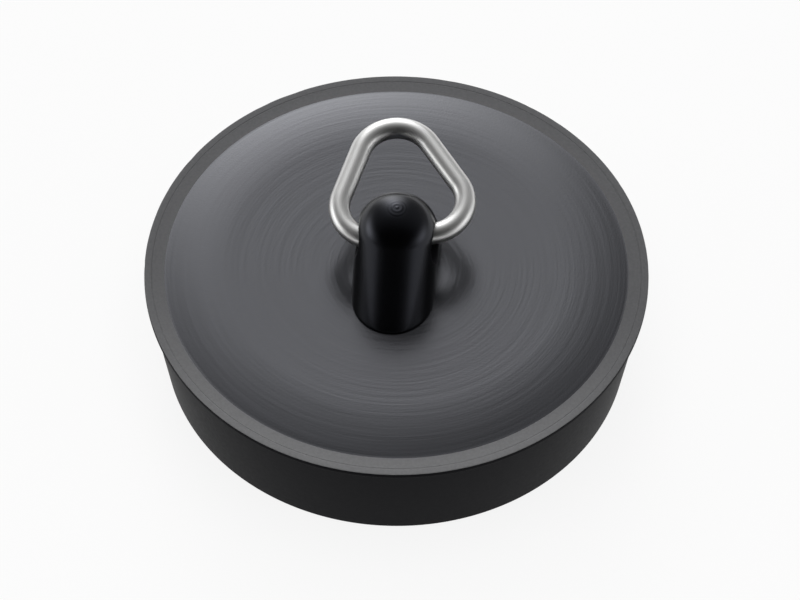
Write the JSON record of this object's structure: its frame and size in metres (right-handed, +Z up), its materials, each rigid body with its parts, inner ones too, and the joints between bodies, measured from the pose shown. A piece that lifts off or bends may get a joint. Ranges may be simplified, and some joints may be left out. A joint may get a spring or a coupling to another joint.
{
  "type": "drain stopper",
  "caption": "Round rubber drain stopper: tapered wall under a thin lip, slightly raised top inside a flat rim, domed post in the middle and a triangular wire pull ring that swings in the post.",
  "frame": {"origin": "middle of the flat underside, where the stopper stands on a table", "axes": "+Z up out of the drain, X along the post's ring hole, +Y the side the ring leans to at rest"},
  "size_m": [0.05, 0.05, 0.0221],
  "materials": {
    "plug_rubber": "satin, faint turning marks",
    "post_rubber": "smooth, half gloss",
    "ring_steel": "satin, drawn along the wire"
  },
  "bodies": {
    "plug": {"plug_body": "plug_rubber", "post": "post_rubber"},
    "ring": {"pull_ring": "ring_steel"}
  },
  "joints": [
    {"name": "ring_swing", "type": "hinge", "parent": "plug", "child": "ring", "pos_m": [0, 0, 0.0173], "axis": [1, 0, 0], "range_deg": [-28, 188]}
  ]
}
